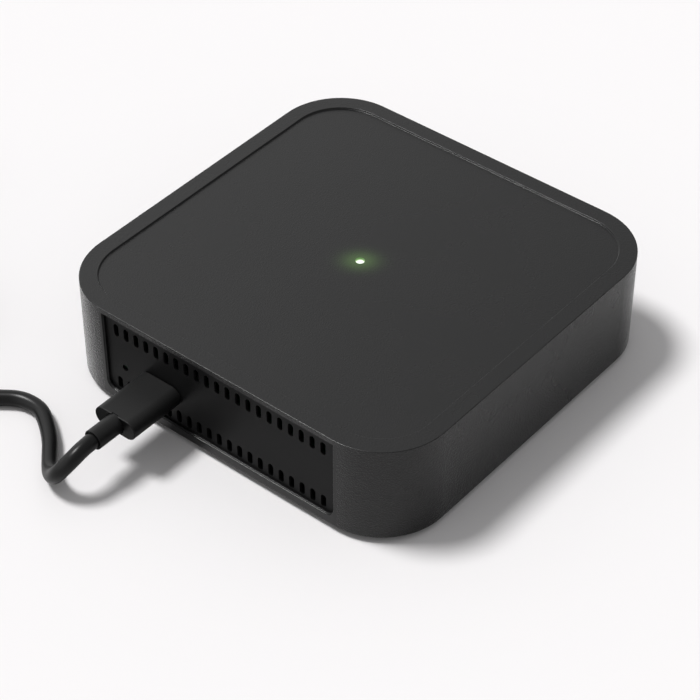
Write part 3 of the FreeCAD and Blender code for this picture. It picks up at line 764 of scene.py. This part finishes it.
def drawnMetal(name, look):
    look = {**metalLook, **look}
    paint, tree, shader = newFinish(name, look)
    drawing = {
        "Along X": look["alongX"],
        "Along Y": look["alongY"],
        "Lines per metre": look["lines"],
    }
    lines = groupNode(tree, brushGroup, drawing)["Lines"]
    tone = spreadTone(tree, cloudsFor(tree, look), look)
    rough = spreadRough(tree, lines, look, look["lineRange"])
    linkSockets(
        tree, (tone, shader.inputs["Base Color"]), (rough, shader.inputs["Roughness"])
    )
    bumpFrom(tree, shader, lines, look["depth"])
    return paint


def glowingPlate(name, look):
    # the shell's finish with green light on the face round the hole and down the hole's wall
    paint = mouldedPlastic(name, look)
    tree = paint.node_tree
    shader = tree.nodes["Principled BSDF"]
    oval = {
        "Half width": look["spillHalfWidth"],
        "Half depth": look["spillHalfDepth"],
        "Turn": look["spillTurn"],
    }
    glow = groupNode(tree, glowGroup, oval)
    face = mixTones(tree, glow["Spill"], (0, 0, 0), look["spillColour"])
    place = partsOf(tree, objectPlace(tree))
    height = rangeBetween(tree, place["Z"], (0.0, 1.0), look["wallSpan"])
    wall = mixTones(tree, height, look["wallBright"], look["wallDim"])
    inHole = mathNode(tree, "LESS_THAN", glow["Radius"], look["wallRadius"])
    tree.links.new(mixTones(tree, inHole, face, wall), shader.inputs["Emission Color"])
    shader.inputs["Emission Strength"].default_value = look["strength"]
    return paint


def litPipe(name, look):
    # clear rod whose polished end is the light
    paint, tree, shader = newFinish(name, look)
    place = partsOf(tree, objectPlace(tree))
    atFace = mathNode(tree, "GREATER_THAN", place["Z"], look["faceLevel"])
    lit = mixTones(tree, atFace, (0, 0, 0), look["lit"])
    rough = spreadRough(tree, cloudsFor(tree, look), look)
    linkSockets(
        tree, (lit, shader.inputs["Emission Color"]), (rough, shader.inputs["Roughness"])
    )
    shader.inputs["Emission Strength"].default_value = look["strength"]
    shader.inputs["Transmission Weight"].default_value = look["clearness"]
    return paint


def solderMask(name, look):
    paint, tree, shader = newFinish(name, look)
    copper = groupNode(tree, traceGroup, {"Cells per metre": look["cells"]})
    tracks = mixTones(tree, copper["Tracks"], look["colour"], look["trackColour"])
    tone = mixTones(tree, copper["Vias"], tracks, look["viaColour"])
    rough = spreadRough(tree, cloudsFor(tree, look), look)
    linkSockets(
        tree, (tone, shader.inputs["Base Color"]), (rough, shader.inputs["Roughness"])
    )
    bumpFrom(tree, shader, copper["Tracks"], look["depth"])
    return paint


shellLook = {
    "colour": (0.006, 0.006, 0.0062),
    "rough": 0.28,
    "gloss": 0.385,
    "sheen": 0.75,
    "sheenRough": 0.205,
    "grain": 2900,
    "depth": 0.00016,
    "levelGrain": 0.34,
    "edgePolish": 0.8,
    "smoothRecess": {"halfWidth": 0.0343, "inner": 0.047, "outer": 0.0502, "top": 0.0257},
    "clouds": 24,
    "toneSpread": (0.06, 0.06),
    "roughSpread": (0.03, 0.03),
}
beadLook = {
    **shellLook,
    "gloss": 0.34,
    "grain": 6000,
    "depth": 0.000004,
    "edgePolish": 1.0,
}
plateLook = {
    **shellLook,
    "spillColour": (0.052, 0.104, 0.026),
    "spillHalfWidth": 0.0031,
    "spillHalfDepth": 0.0025,
    "spillTurn": -0.687,
    "wallRadius": 0.00112,
    "wallSpan": (0.0258, 0.02608),
    "wallBright": (0.55, 0.75, 0.40),
    "wallDim": (0.095, 0.235, 0.05),
    "strength": 1.0,
}
pipeLook = {
    "colour": (0.92, 1.0, 0.9),
    "rough": 0.12,
    "roughSpread": (0.048, 0.072),
    "clouds": 200,
    "clearness": 0.7,
    "lit": (0.97, 1.0, 0.93),
    "strength": 0.8,
    "faceLevel": 0.02579,
}
panelLook = {
    "colour": (0.007, 0.007, 0.0072),
    "rough": 0.38,
    "gloss": 0.1,
    "grain": 6000,
    "fine": 0.6,
    "depth": 0.000004,
    "clouds": 40,
    "toneSpread": (0.06, 0.06),
}
baseLook = {
    "colour": (0.018, 0.018, 0.0185),
    "rough": 0.6,
    "gloss": 0.3,
    "grain": 1500,
    "fine": 0.5,
    "depth": 0.00005,
}
plugLook = {
    "colour": (0.0025, 0.0025, 0.0026),
    # dust on the upward faces, and painted light on the plug's tops
    "dustAndTopLight": (0.016, 0.016, 0.0161),
    "rough": 0.38,
    "gloss": 0.155,
    "grain": 5200,
    "fine": 0.6,
    "depth": 0.000006,
    "clouds": 60,
}
jacketLook = {
    "colour": (0.0025, 0.0025, 0.0026),
    # dust on the upward faces, and painted light on the lead's upper side
    "dustAndTopLight": (0.006, 0.006, 0.0061),
    "rough": 0.31,
    "gloss": 0.22,
    "grain": 4200,
    "fine": 0.7,
    "depth": 0.000008,
    "clouds": 50,
}
rubberLook = {
    "colour": (0.02, 0.02, 0.02),
    "rough": 0.8,
    "gloss": 0.3,
    "grain": 3000,
    "fine": 0.7,
    "depth": 0.00003,
}
nickelLook = {
    "colour": (0.58, 0.58, 0.59),
    "rough": 0.28,
    "depth": 0.000002,
    "alongX": 0.0,
    "alongY": 1.0,
}
tinLook = {"colour": (0.55, 0.55, 0.54), "rough": 0.36, "depth": 0.000003}
aluminiumLook = {
    "colour": (0.62, 0.63, 0.64),
    "rough": 0.34,
    "depth": 0.000004,
    "alongX": 0.0,
    "alongY": 1.0,
}
screwLook = {"colour": (0.36, 0.36, 0.37), "rough": 0.34, "depth": 0.000003, "lines": 5000}
brassLook = {"colour": (0.64, 0.47, 0.2), "rough": 0.32, "depth": 0.000004, "lines": 5000}
resinLook = {
    "colour": (0.02, 0.02, 0.021),
    "rough": 0.48,
    "gloss": 0.4,
    "grain": 7000,
    "fine": 0.8,
    "depth": 0.000006,
}
ceramicLook = {
    "colour": (0.34, 0.25, 0.16),
    "rough": 0.42,
    "grain": 4000,
    "depth": 0.000006,
    "toneSpread": (0.2, 0.2),
}
padLook = {"colour": (0.35, 0.38, 0.42), "rough": 0.75, "grain": 2500, "depth": 0.00002}
tapeLook = {"colour": (0.55, 0.53, 0.48), "rough": 0.6, "grain": 1800, "depth": 0.00002}
paleLook = {
    "colour": (0.82, 0.81, 0.77),
    "rough": 0.4,
    "grain": 3000,
    "depth": 0.000006,
    "toneSpread": (0.05, 0.05),
}
boardLook = {
    "colour": (0.012, 0.075, 0.035),
    "trackColour": (0.022, 0.12, 0.055),
    "viaColour": (0.5, 0.4, 0.2),
    "rough": 0.3,
    "roughSpread": (0.06, 0.08),
    "depth": 0.00003,
    "cells": 160,
    "clouds": 60,
}

plugMouldings = ["usb_plug_body", "strain_relief", "supply_plug_relief", "supply_plug_body"]
plugShells = ["usb_plug_shell", "usb_socket_shell", "supply_plug_shell"]
tinned = ["wifi_shield", "mesh_shield", "wifi_antenna", "mesh_antenna", "crystals"]
packages = ["processor", "memory_chips", "reset_switch", "power_inductors"]
socketParts = ["usb_socket_pedestal", "usb_socket_tongue"]
pale = ["reset_plunger", "supply_plug_tongue", "status_led"]
finishes = [
    (mouldedPlastic, "shellPlastic", shellLook, ["housing"]),
    (mouldedPlastic, "beadPlastic", beadLook, []),
    (glowingPlate, "platePlastic", plateLook, ["top_plate"]),
    (litPipe, "clearPipe", pipeLook, ["light_pipe"]),
    (mouldedPlastic, "panelPlastic", panelLook, ["rear_panel"]),
    (mouldedPlastic, "basePlastic", baseLook, ["base_cover"]),
    (mouldedPlastic, "plugPlastic", plugLook, plugMouldings),
    (mouldedPlastic, "leadJacket", jacketLook, []),
    (mouldedPlastic, "footRubber", rubberLook, ["rubber_feet"]),
    (drawnMetal, "nickelSheet", nickelLook, plugShells),
    (drawnMetal, "tinnedSheet", tinLook, tinned),
    (drawnMetal, "extrudedAluminium", aluminiumLook, ["heat_sink", "can_capacitors"]),
    (drawnMetal, "screwSteel", screwLook, ["case_screws", "board_screws"]),
    (drawnMetal, "insertBrass", brassLook, ["threaded_inserts"]),
    (mouldedPlastic, "chipResin", resinLook, packages),
    (mouldedPlastic, "socketResin", resinLook, socketParts),
    (mouldedPlastic, "capacitorCeramic", ceramicLook, ["chip_capacitors"]),
    (mouldedPlastic, "thermalSilicone", padLook, ["thermal_pad"]),
    (mouldedPlastic, "plateTape", tapeLook, ["plate_adhesive"]),
    (mouldedPlastic, "palePlastic", paleLook, pale),
    (solderMask, "solderMask", boardLook, ["main_board"]),
]

paints = {}
for make, name, look, pieces in finishes:
    paints[name] = make(name, look)
    for piece in pieces:
        for slot in nodes[piece].material_slots:
            slot.material = paints[name]
for trim in (bead, liner):
    trim.data.materials.append(paints["beadPlastic"])
    trim.data.materials.append(paints["panelPlastic"])
lead.data.materials.append(paints["leadJacket"])
print("finishes given to every piece")
